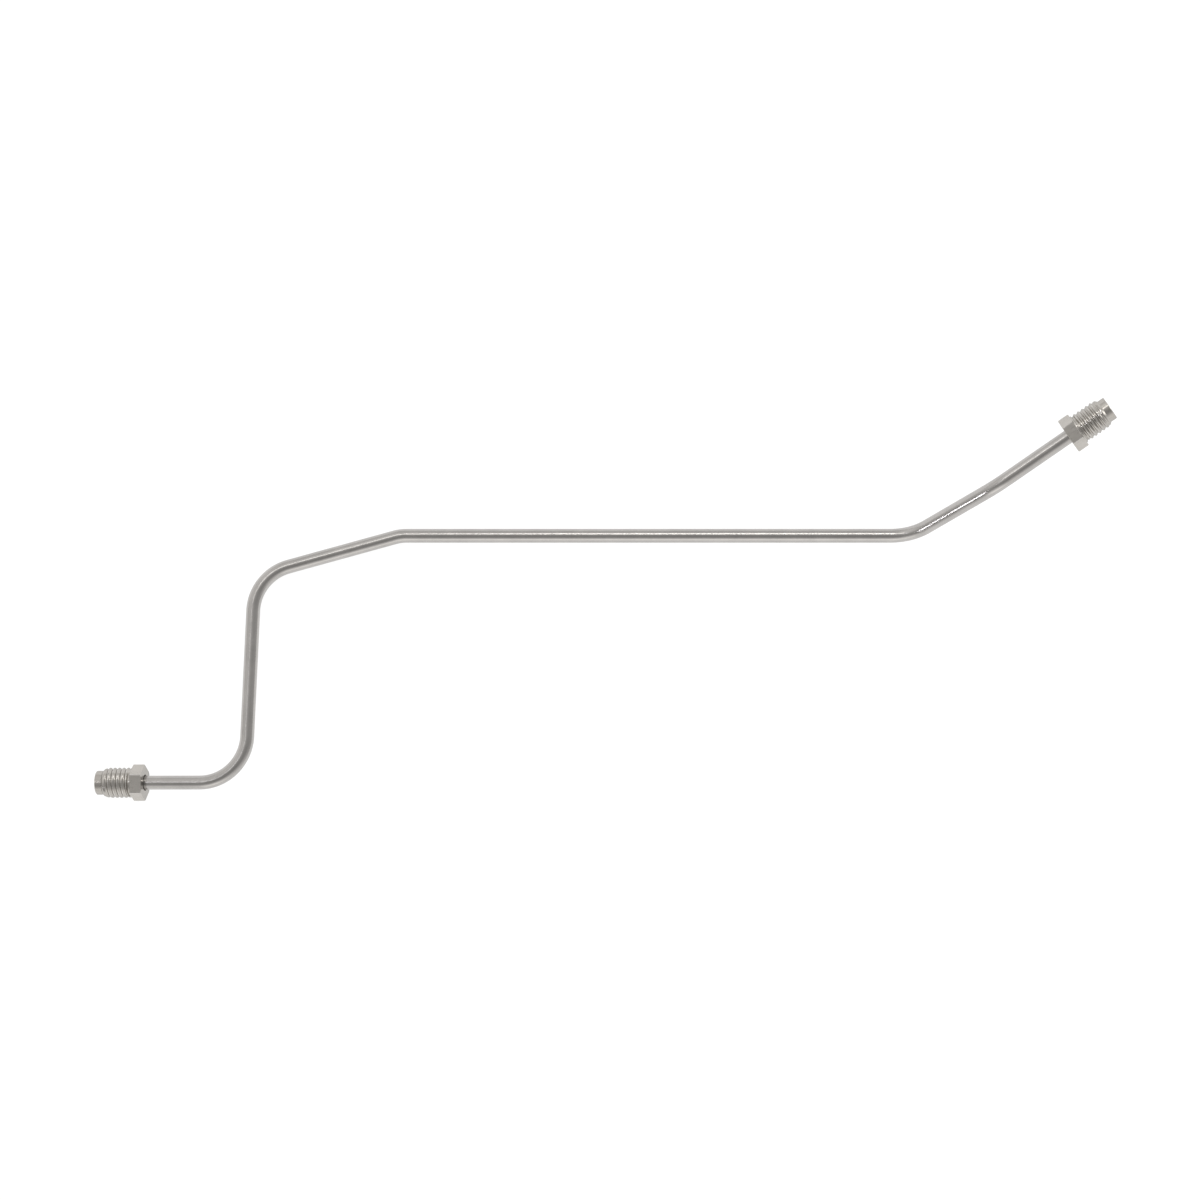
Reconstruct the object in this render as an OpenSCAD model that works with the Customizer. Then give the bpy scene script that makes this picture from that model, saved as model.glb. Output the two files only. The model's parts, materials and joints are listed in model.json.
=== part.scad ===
// Bent tube assembly: a rigid hydraulic line with five bends, a flare formed at
// each end of the tube and a male tube nut held captive behind each flare.
// Lengths are in millimetres and angles in degrees. The assembly lies on z = 0
// as it comes to rest, on the main run, the second bend and the left nut.

/* [Tube] */
// Outside diameter of the tube
tube_diameter = 4.75; // [4.2:0.05:5.2]
// Wall thickness of the tube
tube_wall = 0.7; // [0.5:0.05:1]
// Centreline radius of every bend
bend_radius = 16; // [10:0.5:20]
// Thinning of the wall in a bend, on each of its two sides
bend_thinning = 0.01; // [0.01:0.01:0.05]

/* [Bend line, corner to corner on plan] */
// Run from the left tip to the corner of bend 1
stub_run = 50.7; // [42:0.1:80]
// Heading of the stub
stub_heading = 0.6; // [-10:0.1:10]
// Fall of the stub towards its tip
stub_fall = 8.5; // [4:0.5:14]
// Run of the riser, from bend 1 to bend 2
riser_run = 69.5; // [50:0.1:100]
// Heading of the riser
riser_heading = 88.1; // [75:0.1:95]
// Run of the diagonal, from bend 2 to bend 3
diagonal_run = 51.2; // [35:0.1:80]
// Heading of the diagonal
diagonal_heading = 15.4; // [8:0.1:30]
// Run of the straight main length, from bend 3 to bend 4
main_run = 173; // [120:0.5:240]
// Run of the jog, from bend 4 to bend 5
jog_run = 30.3; // [22:0.1:45]
// Heading of the jog
jog_heading = 31.5; // [20:0.1:45]
// Rise of the jog out of the plane of the main length
jog_rise = 38.5; // [25:0.5:50]
// Run from bend 5 to the right tip
end_run = 45.1; // [32:0.1:70]
// Heading of the right end
end_heading = 34.9; // [20:0.1:50]
// Rise of the right end
end_rise = 8.5; // [0:0.5:15]

/* [Flare] */
// Outside diameter of the flare
flare_diameter = 6.8; // [6.2:0.1:7.2]
// Slope of the flare, from the tube's axis
flare_angle = 45; // [35:1:50]
// Length of the straight rim outside the flare
flare_rim = 0.35; // [0.2:0.05:0.6]
// Depth of the flare's face below the tip of the nut
flare_recess = 0.2; // [0:0.05:0.5]

/* [Tube nut] */
// Hexagon size across flats
hex_across_flats = 10.7; // [10.5:0.1:13]
// Length of the hexagon
hex_length = 4; // [3:0.1:8]
// Slope of the chamfer on the hexagon's corners, from its end face
hex_chamfer = 30; // [15:1:45]
// Reach of that chamfer, inwards from the corners
hex_corner_cut = 0.3; // [0.1:0.05:0.8]
// Outside diameter of the thread
thread_diameter = 10.2; // [9.2:0.1:10.4]
// Length of the thread, with its lead-in chamfer
thread_length = 10.3; // [6:0.1:14]
// Diameter of the plain lead in front of the thread
lead_diameter = 8.1; // [7.8:0.1:8.6]
// Length of the plain lead
lead_length = 2.3; // [1.8:0.1:4]
// Break on the outer edge of the lead's tip
tip_break = 0.15; // [0.05:0.05:0.3]
// Gap all round the tube where it enters the nut
entry_gap = 0.35; // [0.25:0.05:0.6]
// Depth of that gap
entry_depth = 1.2; // [0.5:0.1:2.5]
// Clearance all round between a nut and the tube inside it
nut_clearance = 0.1; // [0.05:0.01:0.2]
// Turn of the left nut from flat side up
left_nut_turn = -1; // [-30:1:30]
// Turn of the right nut from flat side up
right_nut_turn = -5; // [-30:1:30]

/* [Hidden] */
$fn = 96;
tube_r = tube_diameter / 2;
bore_r = tube_r - tube_wall;
flare_r = flare_diameter / 2;
thread_r = thread_diameter / 2;
lead_r = lead_diameter / 2;
hex_corner_r = hex_across_flats / sqrt(3);
nut_bore_r = tube_r + nut_clearance;
nut_length = hex_length + thread_length + lead_length;
thread_chamfer = thread_r - lead_r;
// A cut reaches this far past the face that it opens
through = 1;
// Length over which a straight's wall runs out into a bend
bend_lap = 0.3;

function unit(v) = v / norm(v);
function run(length, heading) = length * [cos(heading), sin(heading), 0];
function lift(h) = [0, 0, h];

// Height of the left tip: the lowest of thread, hexagon and lead touches z = 0
hex_low_r = hex_corner_r * cos(30 - abs(left_nut_turn));
left_tip_height = max(
    thread_r * cos(stub_fall) - (lead_length + thread_chamfer) * sin(stub_fall),
    hex_low_r * cos(stub_fall) - (lead_length + thread_length) * sin(stub_fall),
    lead_r * cos(stub_fall));

// Corners of the bend line, from the left tip to the right tip
corner_1_height = left_tip_height + stub_run * tan(stub_fall);
plan_0 = lift(left_tip_height);
plan_1 = run(stub_run, stub_heading) + lift(corner_1_height);
plan_2 = run(stub_run, stub_heading) + run(riser_run, riser_heading) + lift(tube_r);
plan_3 = plan_2 + run(diagonal_run, diagonal_heading);
plan_4 = plan_3 + run(main_run, 0);
plan_5 = plan_4 + run(jog_run, jog_heading) + lift(jog_run * tan(jog_rise));
plan_6 = plan_5 + run(end_run, end_heading) + lift(end_run * tan(end_rise));

// Which way each nut points, outwards along its end of the tube
left_way = unit(plan_0 - plan_1);
right_way = unit(plan_6 - plan_5);

// The origin is under the middle of the whole assembly
function reach(radius, way, k) = radius * sqrt(1 - way[k] * way[k]);
hex_middle = plan_0 - left_way * (nut_length - hex_length / 2);
low_x = plan_0[0] - reach(lead_r - tip_break, left_way, 0);
high_x = plan_6[0] + reach(lead_r - tip_break, right_way, 0);
low_y = hex_middle[1] - hex_corner_r * cos(left_nut_turn);
high_y = plan_6[1] + reach(lead_r - tip_break, right_way, 1);
middle = [(low_x + high_x) / 2, (low_y + high_y) / 2, 0];
corner = [for (p = [plan_0, plan_1, plan_2, plan_3, plan_4, plan_5, plan_6]) p - middle];

// Bender's table: each straight, then the bend and the turn of the bend's plane
bends = len(corner) - 2;
way = [for (i = [0:bends]) unit(corner[i + 1] - corner[i])];
angle = [for (i = [0:bends - 1]) acos(way[i] * way[i + 1])];
tangent = [for (a = angle) bend_radius * tan(a / 2)];
inward = [for (i = [0:bends - 1]) unit(way[i + 1] - (way[i] * way[i + 1]) * way[i])];
outgoing = [for (i = [0:bends - 1]) inward[i] * cos(angle[i]) - way[i] * sin(angle[i])];
turn = [for (i = [0:bends - 1]) i == 0 ? 0 :
    atan2(cross(outgoing[i - 1], inward[i]) * way[i], outgoing[i - 1] * inward[i])];
straight = [for (i = [0:bends]) norm(corner[i + 1] - corner[i])
    - (i > 0 ? tangent[i - 1] : flare_recess)
    - (i < bends ? tangent[i] : flare_recess)];

// Places children at a point, with their z along a direction and x across it
module place(point, along, across) {
    side = cross(along, across);
    multmatrix([for (k = [0:2]) [across[k], side[k], along[k], point[k]]]) children();
}

// Wall of the tube in section, thinned by the same amount inside and outside
module ring(thinning = 0) {
    difference() {
        circle(tube_r - thinning);
        circle(bore_r + thinning);
    }
}

// End length of the tube, with its flare at z = 0 and the rest along +z
module flared_length(length) {
    cone_length = (flare_r - tube_r) / tan(flare_angle);
    seat_r = flare_r + flare_rim * tan(flare_angle) - tube_wall / cos(flare_angle);
    seat_length = (seat_r - bore_r) / tan(flare_angle);
    rotate_extrude()
        polygon([
            [bore_r, length], [bore_r, seat_length], [seat_r, 0], [flare_r, 0],
            [flare_r, flare_rim], [tube_r, flare_rim + cone_length], [tube_r, length]]);
}

// One straight, with the flare on the first and on the last. It runs a little way
// into the bends beside it, where their thinner wall starts inside its own
module straight_length(i) {
    if (i == 0)
        flared_length(straight[i] + bend_lap);
    else if (i == bends)
        translate([0, 0, straight[i]]) rotate([180, 0, 0]) flared_length(straight[i] + bend_lap);
    else
        translate([0, 0, -bend_lap]) linear_extrude(straight[i] + 2 * bend_lap) ring();
}

// One bend, from the origin along z and round towards +x
module bend(i) {
    translate([bend_radius, 0, 0]) rotate([90, 0, 180])
        rotate_extrude(angle = angle[i]) translate([bend_radius, 0]) ring(bend_thinning);
}

// Moves children past a bend
module past_bend(i) {
    translate([bend_radius, 0, 0]) rotate([0, angle[i], 0]) translate([-bend_radius, 0, 0])
        children();
}

// The tube from straight i onwards, as it comes out of the bender
module tube_from(i) {
    straight_length(i);
    if (i < bends)
        translate([0, 0, straight[i]]) rotate([0, 0, turn[i]]) {
            bend(i);
            past_bend(i) tube_from(i + 1);
        }
}

module bent_tube() {
    color("silver")
        place(corner[0] + flare_recess * way[0], way[0], inward[0]) tube_from(0);
}

// Hexagon with its corners broken at both ends, from z = 0 up
module hexagon() {
    end_r = hex_corner_r - hex_corner_cut;
    drop = hex_corner_cut * tan(hex_chamfer);
    intersection() {
        cylinder(r = hex_corner_r, h = hex_length, $fn = 6);
        rotate_extrude()
            polygon([
                [0, 0], [end_r, 0], [hex_corner_r, drop],
                [hex_corner_r, hex_length - drop], [end_r, hex_length], [0, hex_length]]);
    }
}

// Turned part of the nut, with the tip at z = nut_length
module turned_front() {
    thread_end = hex_length + thread_length;
    rotate_extrude()
        polygon([
            [0, hex_length / 2], [thread_r, hex_length / 2], [thread_r, thread_end - thread_chamfer],
            [lead_r, thread_end], [lead_r, nut_length - tip_break],
            [lead_r - tip_break, nut_length], [0, nut_length]]);
}

// Bore of the nut, opened at the tip to hold the flare and widened at the back
module nut_bore() {
    entry_r = tube_r + entry_gap;
    mouth_r = flare_r + nut_clearance;
    mouth_z = nut_length - flare_recess - flare_rim - nut_clearance;
    seat_z = mouth_z - (mouth_r - nut_bore_r) / tan(flare_angle);
    rotate_extrude()
        polygon([
            [0, -through], [entry_r, -through], [entry_r, entry_depth],
            [nut_bore_r, entry_depth + entry_r - nut_bore_r], [nut_bore_r, seat_z], [mouth_r, mouth_z],
            [mouth_r, nut_length + through], [0, nut_length + through]]);
}

module tube_nut() {
    difference() {
        union() {
            rotate([0, 0, 30]) hexagon();
            turned_front();
        }
        nut_bore();
    }
}

// A nut with its tip at a point, a flat up and then turned about its axis
module placed_nut(tip, along, turn) {
    up = unit([0, 0, 1] - along[2] * along);
    place(tip - nut_length * along, along, up) rotate([0, 0, turn]) tube_nut();
}

module left_tube_nut() {
    color("gainsboro") placed_nut(corner[0], left_way, left_nut_turn);
}

module right_tube_nut() {
    color("lightgray") placed_nut(corner[bends + 1], right_way, right_nut_turn);
}

bent_tube();
left_tube_nut();
right_tube_nut();
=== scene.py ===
import json
import math

import bmesh
import bpy
from mathutils import Matrix, Quaternion, Vector


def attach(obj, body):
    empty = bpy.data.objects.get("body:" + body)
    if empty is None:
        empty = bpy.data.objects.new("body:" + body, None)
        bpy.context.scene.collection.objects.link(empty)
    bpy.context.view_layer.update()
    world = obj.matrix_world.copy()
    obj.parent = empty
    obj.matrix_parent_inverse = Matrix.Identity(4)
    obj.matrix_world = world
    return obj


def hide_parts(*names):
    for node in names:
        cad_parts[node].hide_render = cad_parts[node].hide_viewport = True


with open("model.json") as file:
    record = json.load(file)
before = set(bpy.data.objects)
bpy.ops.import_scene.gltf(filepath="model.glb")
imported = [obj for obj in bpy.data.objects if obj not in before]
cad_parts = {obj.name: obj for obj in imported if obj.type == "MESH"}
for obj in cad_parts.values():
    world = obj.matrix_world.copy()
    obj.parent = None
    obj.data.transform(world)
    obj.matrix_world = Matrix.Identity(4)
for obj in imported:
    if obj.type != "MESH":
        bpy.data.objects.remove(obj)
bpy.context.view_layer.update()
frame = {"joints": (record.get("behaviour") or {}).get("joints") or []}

MM = 0.001

# Bend line of the tube: each run's length on plan in millimetres, and its heading in degrees
STUB_RUN, STUB_HEADING = 50.7, 0.6
RISER_RUN, RISER_HEADING = 69.5, 88.1
DIAGONAL_RUN, DIAGONAL_HEADING = 51.2, 15.4
MAIN_RUN, MAIN_HEADING = 173.0, 0.0
JOG_RUN, JOG_HEADING = 30.3, 31.5
END_RUN, END_HEADING = 45.1, 34.9
# Slopes of the runs that rise, in degrees
STUB_SLOPE = 8.5
JOG_SLOPE = 38.5
END_SLOPE = 8.5
BEND_RADIUS = 16.0

# Tube, in millimetres
TUBE_RADIUS = 2.375
BORE_RADIUS = 1.675
FLARE_RADIUS = 3.4
FLARE_RIM = 0.35
FLARE_RECESS = 0.2
FLARE_WALL = 0.7
FLARE_REACH = 3.0
TUBE_SIDES = 48
STRAIGHT_STEP = 5.0
BEND_STEP_DEG = 2.5

# Tube nut, from the back of its hexagon to its tip, in millimetres
HEX_SECTOR_DEG = 60
HEX_FACE = 5.35
HEX_LENGTH = 4.0
HEX_CHAMFER_DEG = 30.0
HEX_END_RADIUS = 5.878
HEX_CORNER_ROUND = 0.12
EDGE_BREAK = 0.06
THREAD_RADIUS = 5.1
COLLAR_END = 4.45
GROOVE_END = 4.85
THREAD_END = 14.3
THREAD_PITCH = 1.56
THREAD_DEPTH = 0.5
THREAD_RISE = 0.35
RUN_IN_RADIUS = 4.72
RUN_IN_LENGTH = 1.6
LEAD_RADIUS = 4.05
NUT_LENGTH = 16.6
TIP_BREAK = 0.15
ENTRY_GAP = 0.35
ENTRY_DEPTH = 1.2
CLEARANCE = 0.1

# Mesh of a nut: sides all round, extra angles beside each corner of the hexagon, steps to a turn
NUT_SIDES = 96
CORNER_ANGLES_DEG = (0.45, 0.9, 1.3)
THREAD_STEPS = 16
SPARE_TURNS = 2

# Rubbed bright, and on the thread's crests also a painted glint: how far down from the thread's crests
# and the hexagon's corners, in millimetres, and how far in front of the hexagon the crests' rubbing and
# painted glint start
CREST_RUB_AND_GLINT = 0.05
CORNER_RUB = 0.1
CREST_START = 0.1

# Turn of each nut from flat side up, in degrees, and how far along it a thread ridge starts
LEFT_NUT = (-1.0, 0.647)
RIGHT_NUT = (-5.0, 1.223)

# Edges that turn more than this are sharp, and points closer than this, in metres, are one
SHARP_EDGE_DEG = 28.0
SAME_POINT = 1e-7

# Camera: its place and range in metres, its lens and sensor in millimetres
CAMERA_PLACE = (0.00003, 0.00062, 1.1322)
CAMERA_RANGE = (0.01, 50)
CAMERA_LENS = 100.0
CAMERA_SENSOR = 36.0

# Patterns in the steel: how many to a metre, and how much finer detail each has
CLOUD_SIZE, CLOUD_DETAIL = 160, 3
GRAIN_SIZE, GRAIN_DETAIL = 1800, 2
RUB_AND_GLINT_SIZE, RUB_AND_GLINT_DETAIL = 900, 3
NOISE_ROUGHNESS = 0.55
EVEN = (1, 1, 1)
# Part of a pattern's range that is used, and the least that a rubbed edge or painted crest glint shows
NOISE_RANGE = (0.3, 0.7)
RUB_AND_GLINT_RANGE = (0.35, 0.65)
LEAST_RUB_AND_GLINT = 0.2
# Brighter steel of the rubbed corners and crests; on the crests it is also a painted glint
RUBBED_AND_GLINT_STEEL = (0.6, 0.58, 0.555)
# Sockets of a colour mix node
MIX_ONE, MIX_TWO, MIX_OUT = 6, 7, 2

# Floor: half its side and how far it lies below the object, in metres, and its shades of white
FLOOR_SIZE = 6.0
FLOOR_DROP = 0.00005
FLOOR_COLOUR = (0.8, 0.8, 0.8, 1)
SHADOW_COLOUR = (0.2, 0.2, 0.2, 1)
WHITE = (1, 1, 1, 1)
WHITE_LEVEL = 0.92

# Studio: a dim room with soft panels, each as its angle from straight up, its direction on
# plan, how tightly it is gathered and how bright it is
WARM_WHITE = (1.0, 0.99, 0.975)
COOL_WHITE = (0.95, 0.945, 1.0)
ROOM_COLOUR = (*WARM_WHITE, 1)
ROOM_LEVEL = 0.09
PANELS = (
    (70.0, 150.0, 2.5, 0.65),
    (70.0, -93.0, 9.0, 1.1),
    (85.0, 45.0, 3.0, 0.45),
    (85.0, -50.0, 4.5, 0.75),
    (55.0, 100.0, 1.5, 0.28),
    (54.0, 62.0, 130.0, 3.2),
    (82.0, 32.0, 90.0, 2.4),
)

# Lamps: name, place, the point that it faces, width, height, brightness, colour and spread
WIDE, NARROW = 180.0, 20.0
LAMPS = (
    ("softbox_left", (-0.371, 0.613, 1.183), (-0.091, 0.025, 0), 0.56, 0.2, 1.5, WARM_WHITE, WIDE),
    ("softbox_right", (0.199, 0.796, 1.183), (0.389, 0.11, 0), 0.6, 0.19, 3.8, WARM_WHITE, WIDE),
    ("fill_box", (-0.3, 0.62, 0.6), (0.03, 0.03, 0.01), 0.2, 0.26, 0.2, WARM_WHITE, WIDE),
    ("side_box", (-0.66, 0.17, 1.18), (0, 0, 0.01), 0.16, 0.16, 1.6, COOL_WHITE, WIDE),
    ("low_light", (-0.549, -0.365, 0.328), (0.114, 0.028, 0.011), 0.1, 0.1, 0.16, COOL_WHITE, NARROW),
)
# Power of a lamp for each square metre and unit of brightness
LAMP_POWER = 4.0


def new_mesh(name, bm):
    """The bmesh as an object, with sharp edges where its faces turn."""
    bmesh.ops.recalc_face_normals(bm, faces=bm.faces)
    for face in bm.faces:
        face.smooth = True
    sharp = math.radians(SHARP_EDGE_DEG)
    for edge in bm.edges:
        edge.smooth = len(edge.link_faces) == 2 and edge.calc_face_angle() < sharp
    mesh = bpy.data.meshes.new(name)
    bm.to_mesh(mesh)
    bm.free()
    obj = bpy.data.objects.new(name, mesh)
    bpy.context.scene.collection.objects.link(obj)
    return obj


def climb(length, slope_deg):
    """How far a run rises over its length on plan."""
    return length * math.tan(math.radians(slope_deg))


def run(length, heading_deg, rise=0.0):
    """One run of the bend line, from corner to corner."""
    heading = math.radians(heading_deg)
    return Vector((length * math.cos(heading), length * math.sin(heading), rise))


def bend_corners():
    """Corners of the bend line, from the left tip, where the left nut's joint is, to the right tip."""
    left_joint = next(joint for joint in frame["joints"] if joint["name"] == "left_nut_spin")
    left_tip = Vector(left_joint["pos_m"]) / MM
    stub_rise = climb(STUB_RUN, STUB_SLOPE)
    runs = (
        run(STUB_RUN, STUB_HEADING, stub_rise),
        run(RISER_RUN, RISER_HEADING, TUBE_RADIUS - left_tip.z - stub_rise),
        run(DIAGONAL_RUN, DIAGONAL_HEADING),
        run(MAIN_RUN, MAIN_HEADING),
        run(JOG_RUN, JOG_HEADING, climb(JOG_RUN, JOG_SLOPE)),
        run(END_RUN, END_HEADING, climb(END_RUN, END_SLOPE)),
    )
    corners = [left_tip]
    for way in runs:
        corners.append(corners[-1] + way)
    return corners


def bend_line(points):
    """(point, direction, distance from the left tip) along the tube's middle, in millimetres."""
    ways = [(b - a).normalized() for a, b in zip(points, points[1:])]
    line, at, gone = [], points[0], 0.0

    def straight(end, way):
        nonlocal at, gone
        length = (end - at).length
        steps = max(1, math.ceil(length / STRAIGHT_STEP))
        for i in range(steps):
            line.append((at + way * length * i / steps, way, gone + length * i / steps))
        at, gone = end, gone + length

    for i, corner in enumerate(points[1:-1]):
        a, b = ways[i], ways[i + 1]
        angle = a.angle(b)
        axis = a.cross(b).normalized()
        start = corner - a * BEND_RADIUS * math.tan(angle / 2)
        straight(start, a)
        middle = start + axis.cross(a) * BEND_RADIUS
        steps = max(2, math.ceil(math.degrees(angle) / BEND_STEP_DEG))
        for k in range(steps):
            turn = Quaternion(axis, angle * k / steps)
            line.append((middle + turn @ (start - middle), turn @ a, gone + BEND_RADIUS * angle * k / steps))
        at, gone = middle + Quaternion(axis, angle) @ (start - middle), gone + BEND_RADIUS * angle
    straight(points[-1], ways[-1])
    line.append((points[-1], ways[-1], gone))
    return line


def swept_frames(line):
    """A side direction at each station, carried along without twist."""
    sides, side = [], Vector((0, 1, 0))
    last = line[0][1]
    for _, way, _ in line:
        side = last.rotation_difference(way) @ side
        side = (side - way * side.dot(way)).normalized()
        sides.append(side)
        last = way
    return sides


def make_tube(corners):
    """The tube with its bore and both flares, swept along the bend line."""
    line = bend_line(corners)
    sides = swept_frames(line)
    length = line[-1][2]
    cone = FLARE_RADIUS - TUBE_RADIUS
    seat_radius = FLARE_RADIUS + FLARE_RIM - FLARE_WALL * math.sqrt(2)
    seat_depth = seat_radius - BORE_RADIUS

    def station(distance):
        """Point, direction and side at a distance on one of the end straights."""
        i = 0 if distance < length / 2 else -1
        point, way, gone = line[i]
        return point + way * (distance - gone), way, sides[i], distance

    first, last = FLARE_RECESS, length - FLARE_RECESS
    between = [
        (p, w, s, d) for (p, w, d), s in zip(line, sides) if first + FLARE_REACH < d < last - FLARE_REACH]
    rings = [(station(first), FLARE_RADIUS), (station(first + FLARE_RIM), FLARE_RADIUS)]
    rings += [(station(first + FLARE_RIM + cone), TUBE_RADIUS)]
    rings += [(s, TUBE_RADIUS) for s in between]
    rings += [(station(last - FLARE_RIM - cone), TUBE_RADIUS), (station(last - FLARE_RIM), FLARE_RADIUS)]
    rings += [(station(last), FLARE_RADIUS), (station(last), seat_radius)]
    rings += [(station(last - seat_depth), BORE_RADIUS)]
    rings += [(s, BORE_RADIUS) for s in reversed(between)]
    rings += [(station(first + seat_depth), BORE_RADIUS), (station(first), seat_radius)]

    bm = bmesh.new()
    grain = bm.verts.layers.float_vector.new("grain")
    circles = []
    for (point, way, side, distance), radius in rings:
        across = way.cross(side)
        circle = []
        for k in range(TUBE_SIDES):
            a = 2 * math.pi * k / TUBE_SIDES
            vert = bm.verts.new((point + (side * math.cos(a) + across * math.sin(a)) * radius) * MM)
            vert[grain] = Vector((distance, radius * math.cos(a), radius * math.sin(a))) * MM
            circle.append(vert)
        circles.append(circle)
    for one, two in zip(circles, circles[1:] + circles[:1]):
        for k in range(TUBE_SIDES):
            m = (k + 1) % TUBE_SIDES
            bm.faces.new((one[k], one[m], two[m], two[k]))
    return new_mesh("line_tube", bm)


def hex_radius(angle):
    """Distance of the rounded hexagon from its middle; a flat faces angle 0."""
    half = HEX_SECTOR_DEG / 2
    off = abs((math.degrees(angle) + half) % HEX_SECTOR_DEG - half)
    flat = HEX_FACE / math.cos(math.radians(off))
    centre = (HEX_FACE - HEX_CORNER_ROUND) / math.cos(math.radians(half))
    lean = math.radians(half - off)
    under = HEX_CORNER_ROUND ** 2 - (centre * math.sin(lean)) ** 2
    if under <= 0:
        return flat
    return min(flat, centre * math.cos(lean) + math.sqrt(under))


def thread_radius(angle, z, start):
    """Outer surface of the rounded thread, from the groove behind it to the chamfer in front."""
    root = THREAD_RADIUS - THREAD_DEPTH
    turns = (z - start) / THREAD_PITCH - angle / (2 * math.pi)
    depth = THREAD_DEPTH * (1 - math.cos(2 * math.pi * turns)) / 2
    from_groove = root + (z - GROOVE_END) * THREAD_DEPTH / THREAD_RISE
    chamfer = LEAD_RADIUS + THREAD_END - z
    run_in_end = THREAD_END - (RUN_IN_RADIUS - LEAD_RADIUS)
    run_in = RUN_IN_RADIUS + (run_in_end - z) * (THREAD_RADIUS - RUN_IN_RADIUS) / RUN_IN_LENGTH
    return min(THREAD_RADIUS - depth, from_groove, run_in, chamfer)


def nut_angles():
    """Angles of the nut's mesh, closer together at the hexagon's corners."""
    found = {round(360 * k / NUT_SIDES, 4) for k in range(NUT_SIDES + 1)}
    for corner in range(HEX_SECTOR_DEG // 2, 360, HEX_SECTOR_DEG):
        found |= {corner - d for d in CORNER_ANGLES_DEG}
        found |= {corner + d for d in CORNER_ANGLES_DEG}
    return [math.radians(a) for a in sorted(found)]


def thread_rows(angles, start):
    """Rows of (radius, z) along the thread's helix, one row for each step of a turn."""
    first = THREAD_STEPS * (int(GROOVE_END / THREAD_PITCH) - SPARE_TURNS)
    last = THREAD_STEPS * (int(THREAD_END / THREAD_PITCH) + SPARE_TURNS)
    rows = []
    for step in range(first, last):
        row = []
        for a in angles:
            z = start + THREAD_PITCH * (step / THREAD_STEPS + a / (2 * math.pi))
            z = min(THREAD_END, max(GROOVE_END, z))
            row.append((thread_radius(a, z, start), z))
        rows.append(row)
    return rows


def make_nut(name, tip, way, turn_deg, start):
    """A tube nut with its tip at a point of the bend line, pointing outwards."""
    angles = nut_angles()
    lean = math.tan(math.radians(HEX_CHAMFER_DEG))
    bore = TUBE_RADIUS + CLEARANCE
    entry = TUBE_RADIUS + ENTRY_GAP
    mouth = FLARE_RADIUS + CLEARANCE
    mouth_z = NUT_LENGTH - FLARE_RECESS - FLARE_RIM - CLEARANCE
    root = THREAD_RADIUS - THREAD_DEPTH

    def ring(radius, z):
        return [(radius, z)] * len(angles)

    outline = [hex_radius(a) for a in angles]
    face = [(min(r, HEX_END_RADIUS) - EDGE_BREAK, 0) for r in outline]
    edge = [(r, max(EDGE_BREAK, (r - HEX_END_RADIUS) * lean)) for r in outline]
    rows = [ring(entry, 0), face, edge]
    hex_side = len(rows) - 1
    rows += [[(r, HEX_LENGTH - z) for r, z in edge], [(r, HEX_LENGTH) for r, _ in face]]
    rows += [ring(THREAD_RADIUS, HEX_LENGTH), ring(THREAD_RADIUS, COLLAR_END - EDGE_BREAK)]
    rows += [ring(THREAD_RADIUS - EDGE_BREAK, COLLAR_END), ring(root, COLLAR_END + 2 * EDGE_BREAK)]
    rows += [ring(root, GROOVE_END)]
    rows += thread_rows(angles, start)
    rows += [ring(LEAD_RADIUS, THREAD_END), ring(LEAD_RADIUS, NUT_LENGTH - TIP_BREAK)]
    rows += [ring(LEAD_RADIUS - TIP_BREAK, NUT_LENGTH), ring(mouth, NUT_LENGTH), ring(mouth, mouth_z)]
    rows += [ring(bore, mouth_z - (mouth - bore)), ring(bore, ENTRY_DEPTH + entry - bore)]
    rows += [ring(entry, ENTRY_DEPTH)]

    up = (Vector((0, 0, 1)) - way * way.z).normalized()
    axes = Matrix((up, way.cross(up), way)).transposed()
    axes = axes @ Matrix.Rotation(math.radians(turn_deg), 3, "Z")
    back = tip - way * NUT_LENGTH

    bm = bmesh.new()
    grain = bm.verts.layers.float_vector.new("grain")
    wear_and_glint = bm.verts.layers.float.new("wear_and_glint")
    rubbed_radius = max(outline) - CORNER_RUB
    rings = []
    for row in rows:
        made = []
        for (radius, z), a in zip(row, angles):
            local = Vector((radius * math.cos(a), radius * math.sin(a), z))
            vert = bm.verts.new((back + axes @ local) * MM)
            vert[grain] = local * MM
            # The hexagon's corners are marked as rubbed, and the thread's crests as rubbed and painted with
            # a glint
            crest = radius > THREAD_RADIUS - CREST_RUB_AND_GLINT and z > HEX_LENGTH + CREST_START
            corner = radius > rubbed_radius and z <= HEX_LENGTH
            vert[wear_and_glint] = 1.0 if crest or corner else 0.0
            made.append(vert)
        rings.append(made)
    for i, (one, two) in enumerate(zip(rings, rings[1:] + rings[:1])):
        for k in range(len(angles) - 1):
            made = bm.faces.new((one[k], one[k + 1], two[k + 1], two[k]))
            made.material_index = 1 if i == hex_side else 0
    bmesh.ops.remove_doubles(bm, verts=bm.verts, dist=SAME_POINT)
    bmesh.ops.dissolve_degenerate(bm, edges=bm.edges, dist=SAME_POINT)
    return new_mesh(name, bm)


class Nodes:
    """Short calls for a node tree."""

    def __init__(self, tree):
        self.tree = tree
        tree.nodes.clear()

    def add(self, kind, **values):
        node = self.tree.nodes.new(kind)
        for key, value in values.items():
            if key in node.inputs:
                node.inputs[key].default_value = value
            else:
                setattr(node, key, value)
        return node

    def link(self, a, b):
        self.tree.links.new(a, b)


def noise(n, vector, scale, size, detail):
    """A noise pattern, stretched by scale along each axis of the grain, size in patterns per metre."""
    mapping = n.add("ShaderNodeMapping")
    mapping.inputs["Scale"].default_value = scale
    n.link(vector, mapping.inputs["Vector"])
    made = n.add("ShaderNodeTexNoise", Scale=size, Detail=detail, Roughness=NOISE_ROUGHNESS)
    n.link(mapping.outputs["Vector"], made.inputs["Vector"])
    return made.outputs["Fac"]


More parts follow.
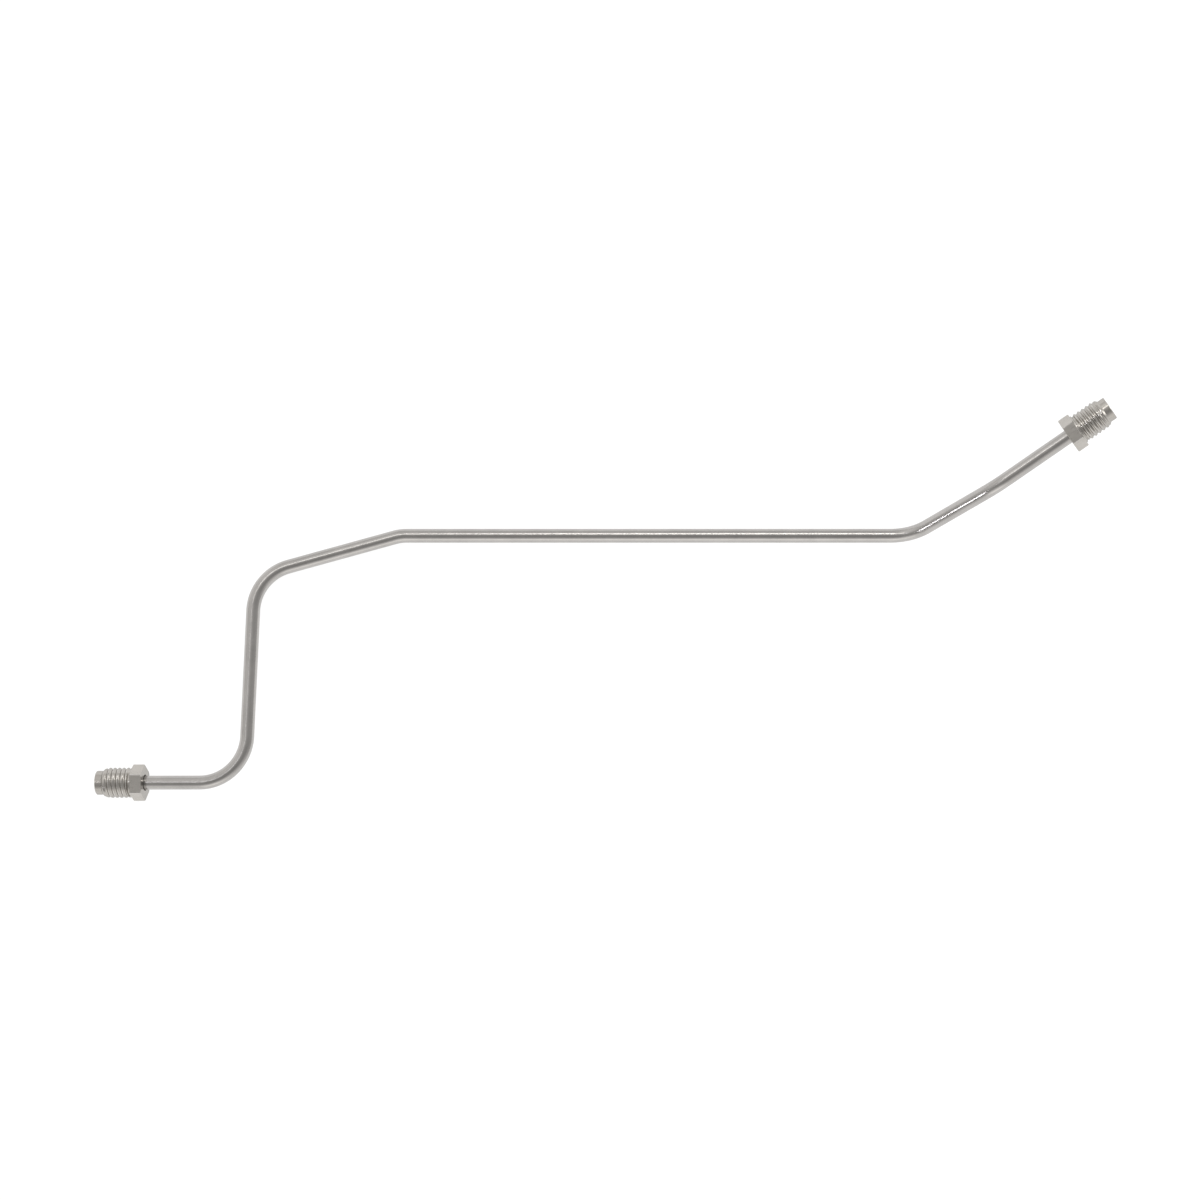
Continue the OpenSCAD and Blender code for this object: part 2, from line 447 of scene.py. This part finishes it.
def ranged(n, value, used, result):
    """A value brought from one range to another."""
    made = n.add("ShaderNodeMapRange")
    n.link(value, made.inputs["Value"])
    made.inputs["From Min"].default_value, made.inputs["From Max"].default_value = used
    made.inputs["To Min"].default_value, made.inputs["To Max"].default_value = result
    return made.outputs["Result"]


def mixed(n, factor, one, two):
    """A mix of two colours, each three numbers or a socket."""
    made = n.add("ShaderNodeMix", data_type="RGBA")
    n.link(factor, made.inputs["Factor"])
    for socket, colour in ((MIX_ONE, one), (MIX_TWO, two)):
        if isinstance(colour, tuple):
            made.inputs[socket].default_value = (*colour, 1)
        else:
            n.link(colour, made.inputs[socket])
    return made.outputs[MIX_OUT]


def plated_steel(name, dark, light, roughness, bump, stretch, rim=1.0, worn_and_glint=None):
    """Satin plated steel: its grain, in colour, roughness and height, follows the piece."""
    material = bpy.data.materials.new(name)
    material.use_nodes = True
    n = Nodes(material.node_tree)
    out = n.add("ShaderNodeOutputMaterial")
    metal = n.add("ShaderNodeBsdfPrincipled", Metallic=1.0)
    metal.inputs["Specular Tint"].default_value = (rim, rim, rim, 1)
    n.link(metal.outputs["BSDF"], out.inputs["Surface"])
    grain = n.add("ShaderNodeAttribute", attribute_name="grain").outputs["Vector"]

    cloud = noise(n, grain, EVEN, CLOUD_SIZE, CLOUD_DETAIL)
    colour = mixed(n, ranged(n, cloud, NOISE_RANGE, (0, 1)), dark, light)
    # Rubbed corners and crests get brighter steel, which on the crests is also a painted glint
    if worn_and_glint:
        wear_and_glint = n.add("ShaderNodeAttribute", attribute_name="wear_and_glint").outputs["Fac"]
        patchy = ranged(n, noise(n, grain, EVEN, RUB_AND_GLINT_SIZE, RUB_AND_GLINT_DETAIL), RUB_AND_GLINT_RANGE, (LEAST_RUB_AND_GLINT, 1))
        rubbed_and_glint = n.add("ShaderNodeMath", operation="MULTIPLY")
        n.link(wear_and_glint, rubbed_and_glint.inputs[0])
        n.link(patchy, rubbed_and_glint.inputs[1])
        colour = mixed(n, rubbed_and_glint.outputs[0], colour, worn_and_glint)
    n.link(colour, metal.inputs["Base Color"])
    fine = noise(n, grain, stretch, GRAIN_SIZE, GRAIN_DETAIL)
    n.link(ranged(n, fine, NOISE_RANGE, roughness), metal.inputs["Roughness"])
    height = n.add("ShaderNodeBump", Strength=1.0, Distance=bump)
    n.link(fine, height.inputs["Height"])
    n.link(height.outputs["Normal"], metal.inputs["Normal"])
    return material


def tube_steel():
    """Drawn tube, its grain slightly longer along it."""
    return plated_steel(
        "tube_steel", dark=(0.445, 0.431, 0.417), light=(0.5, 0.483, 0.468),
        roughness=(0.18, 0.26), bump=0.000005, stretch=(0.8, 1, 1))


def turned_steel():
    """Turned faces of a nut, their grain all round it."""
    return plated_steel(
        "nut_steel_turned", dark=(0.455, 0.434, 0.405), light=(0.51, 0.487, 0.455),
        roughness=(0.16, 0.26), bump=0.000004, stretch=(0.2, 0.2, 1), rim=0.75, worn_and_glint=RUBBED_AND_GLINT_STEEL)


def hexagon_steel():
    """Drawn flats of a nut's hexagon, their grain along it."""
    return plated_steel(
        "nut_steel_hexagon", dark=(0.478, 0.456, 0.425), light=(0.535, 0.511, 0.478),
        roughness=(0.26, 0.38), bump=0.000006, stretch=(1, 1, 0.25), worn_and_glint=RUBBED_AND_GLINT_STEEL)


def make_floor():
    """A plain pale floor. What shows of it is white, and it keeps a faint shadow."""
    bm = bmesh.new()
    bmesh.ops.create_grid(bm, x_segments=1, y_segments=1, size=FLOOR_SIZE)
    bmesh.ops.translate(bm, verts=bm.verts, vec=(0, 0, -FLOOR_DROP))
    floor = new_mesh("floor", bm)
    material = bpy.data.materials.new("floor_white")
    material.use_nodes = True
    n = Nodes(material.node_tree)
    out = n.add("ShaderNodeOutputMaterial")
    path = n.add("ShaderNodeLightPath")
    seen = n.add("ShaderNodeMath", operation="MAXIMUM")
    n.link(path.outputs["Is Camera Ray"], seen.inputs[0])
    n.link(path.outputs["Is Glossy Ray"], seen.inputs[1])
    through = n.add("ShaderNodeMath", operation="MAXIMUM")
    n.link(seen.outputs[0], through.inputs[0])
    n.link(path.outputs["Is Transmission Ray"], through.inputs[1])
    plain = n.add("ShaderNodeBsdfDiffuse", Color=FLOOR_COLOUR)
    shadow = n.add("ShaderNodeBsdfDiffuse", Color=SHADOW_COLOUR)
    white = n.add("ShaderNodeEmission", Color=WHITE, Strength=WHITE_LEVEL)
    both = n.add("ShaderNodeAddShader")
    n.link(shadow.outputs[0], both.inputs[0])
    n.link(white.outputs[0], both.inputs[1])
    mix = n.add("ShaderNodeMixShader")
    n.link(through.outputs[0], mix.inputs[0])
    n.link(plain.outputs[0], mix.inputs[1])
    n.link(both.outputs[0], mix.inputs[2])
    n.link(mix.outputs[0], out.inputs["Surface"])
    floor.data.materials.append(material)


def make_room():
    """Soft light from all round, darker overhead, where the camera stands."""
    world = bpy.data.worlds.new("room")
    bpy.context.scene.world = world
    world.use_nodes = True
    n = Nodes(world.node_tree)
    out = n.add("ShaderNodeOutputWorld")
    sky = n.add("ShaderNodeBackground", Color=ROOM_COLOUR)
    n.link(sky.outputs[0], out.inputs["Surface"])
    ray = n.add("ShaderNodeTexCoord").outputs["Generated"]
    total = None
    for lean, heading, gather, level in PANELS:
        lean, heading = math.radians(lean), math.radians(heading)
        near = n.add("ShaderNodeVectorMath", operation="DOT_PRODUCT")
        n.link(ray, near.inputs[0])
        near.inputs[1].default_value = (
            math.sin(lean) * math.cos(heading), math.sin(lean) * math.sin(heading), math.cos(lean))
        power = n.add("ShaderNodeMath", operation="MULTIPLY_ADD")
        n.link(near.outputs["Value"], power.inputs[0])
        power.inputs[1].default_value, power.inputs[2].default_value = gather, -gather
        fall = n.add("ShaderNodeMath", operation="EXPONENT")
        n.link(power.outputs[0], fall.inputs[0])
        panel = n.add("ShaderNodeMath", operation="MULTIPLY_ADD")
        n.link(fall.outputs[0], panel.inputs[0])
        panel.inputs[1].default_value = level
        if total is None:
            panel.inputs[2].default_value = ROOM_LEVEL
        else:
            n.link(total, panel.inputs[2])
        total = panel.outputs[0]
    n.link(total, sky.inputs["Strength"])


def make_light(name, place, target, width, height, brightness, colour, spread_deg):
    """A rectangular lamp of even brightness, turned towards a point."""
    light = bpy.data.lights.new(name, "AREA")
    light.shape = "RECTANGLE"
    light.size, light.size_y = width, height
    light.color = colour
    light.energy = brightness * LAMP_POWER * width * height
    light.spread = math.radians(spread_deg)
    lamp = bpy.data.objects.new(name, light)
    lamp.location = place
    lamp.rotation_mode = "QUATERNION"
    lamp.rotation_quaternion = (Vector(target) - Vector(place)).to_track_quat("-Z", "Y")
    bpy.context.scene.collection.objects.link(lamp)


def make_camera():
    """The camera straight above the object, as in the photograph."""
    data = bpy.data.cameras.new("camera")
    data.lens, data.sensor_width = CAMERA_LENS, CAMERA_SENSOR
    data.clip_start, data.clip_end = CAMERA_RANGE
    camera = bpy.data.objects.new("camera", data)
    camera.location = CAMERA_PLACE
    bpy.context.scene.collection.objects.link(camera)
    bpy.context.scene.camera = camera


make_camera()
bpy.context.scene.view_settings.view_transform = "Standard"

corners = bend_corners()
tube = make_tube(corners)
tube.data.materials.append(tube_steel())
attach(tube, "tube")
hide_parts("bent_tube")

nut_materials = (turned_steel(), hexagon_steel())
for side, tip, inner, placing in (
        ("left", corners[0], corners[1], LEFT_NUT), ("right", corners[-1], corners[-2], RIGHT_NUT)):
    nut = make_nut(side + "_line_nut", tip, (tip - inner).normalized(), *placing)
    for material in nut_materials:
        nut.data.materials.append(material)
    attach(nut, side + "_nut")
    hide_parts(side + "_tube_nut")

make_floor()
make_room()
for lamp in LAMPS:
    make_light(*lamp)
